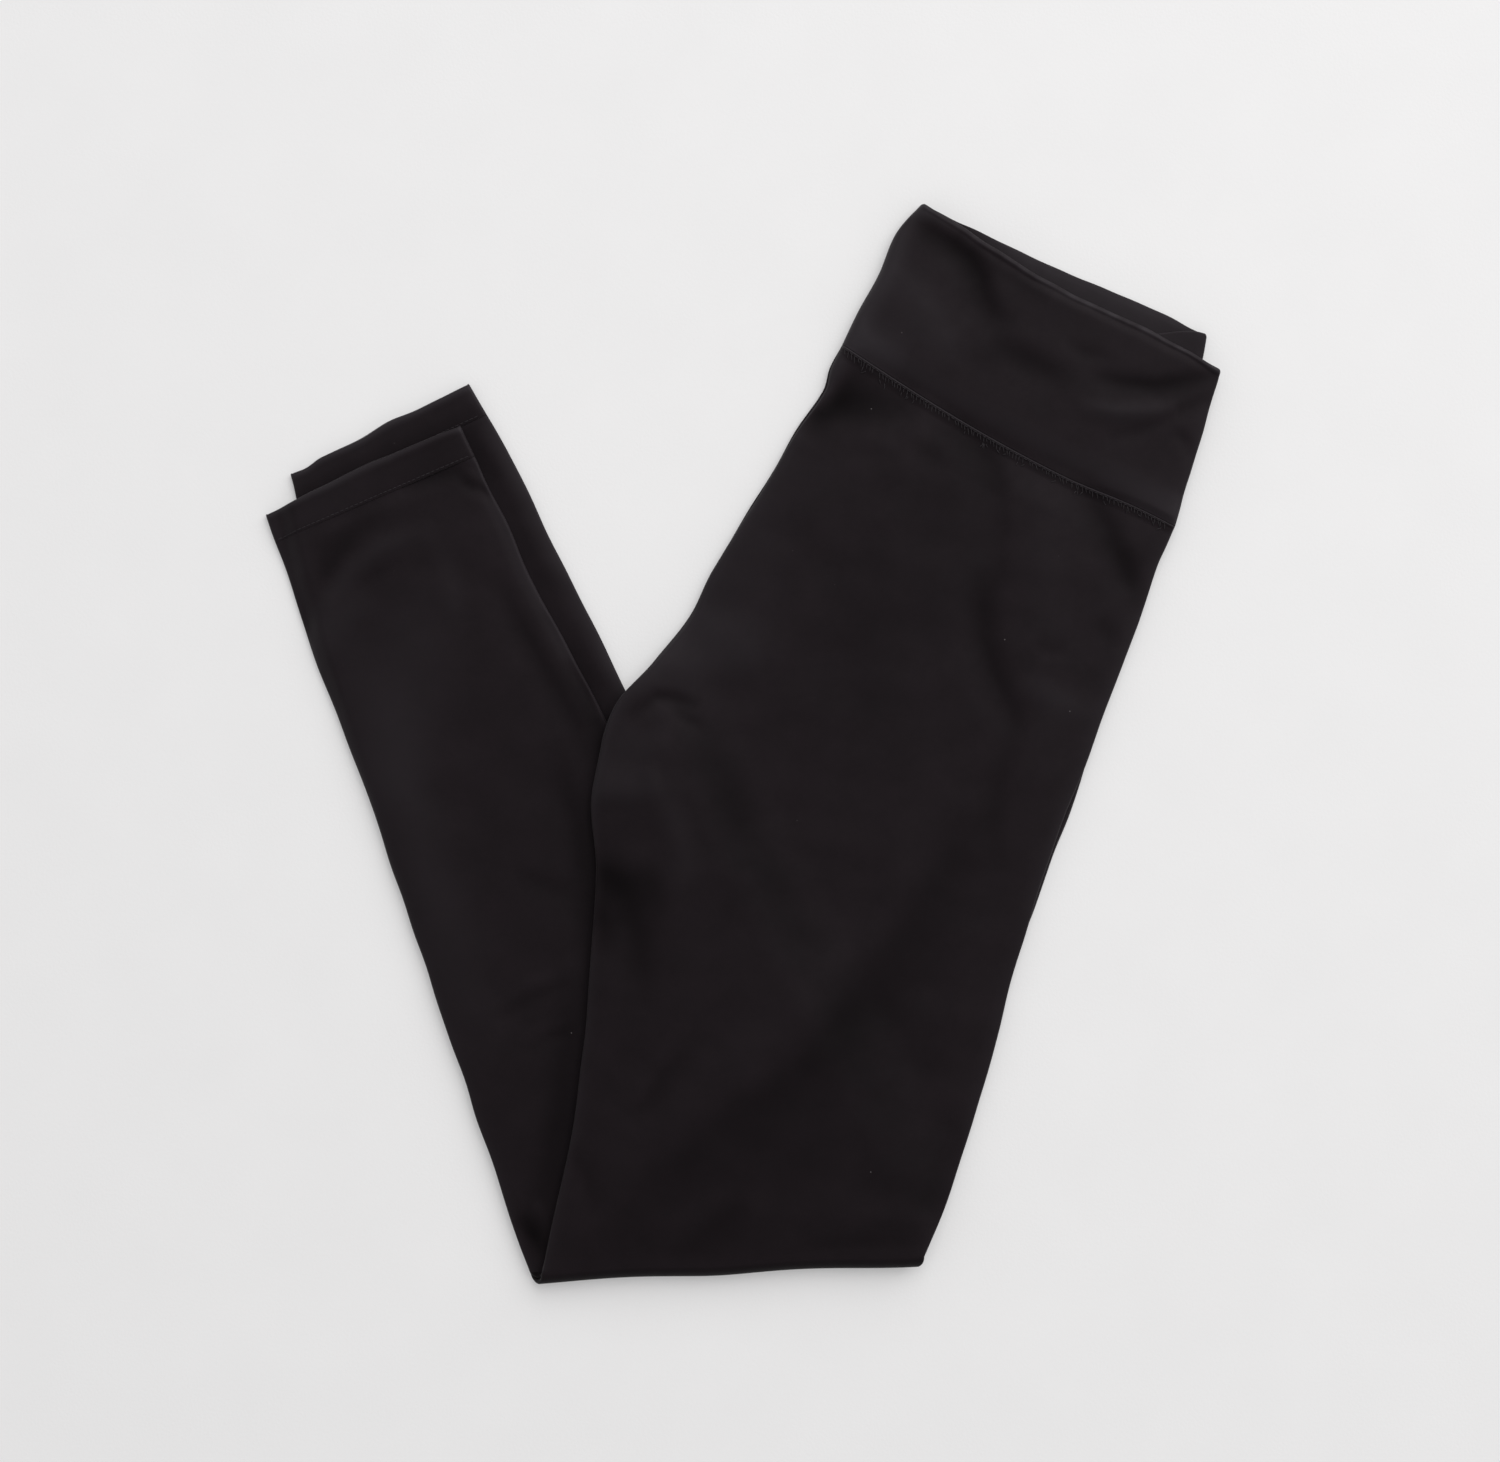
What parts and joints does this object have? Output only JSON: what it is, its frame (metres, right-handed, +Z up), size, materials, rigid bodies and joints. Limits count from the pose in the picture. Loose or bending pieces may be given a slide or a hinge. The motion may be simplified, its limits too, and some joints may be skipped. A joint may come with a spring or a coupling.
{
  "type": "leggings",
  "caption": "Plain high-waisted leggings with a wide waistband, folded in half lengthwise and under at the knee, lying flat.",
  "frame": {"origin": "on the surface that the garment lies on, under the middle of the folded pair", "axes": "+Y from the knee fold to the waist, +X from the centre seam to the side of the hip, +Z up from the surface"},
  "size_m": [0.4764, 0.5407, 0.0136],
  "materials": {
    "black_jersey": "matte black cotton and elastane jersey"
  },
  "bodies": {
    "root": {"waistband": "black_jersey", "right_leg": "black_jersey", "left_leg": "black_jersey", "right_hem": "black_jersey", "left_hem": "black_jersey"}
  },
  "joints": []
}
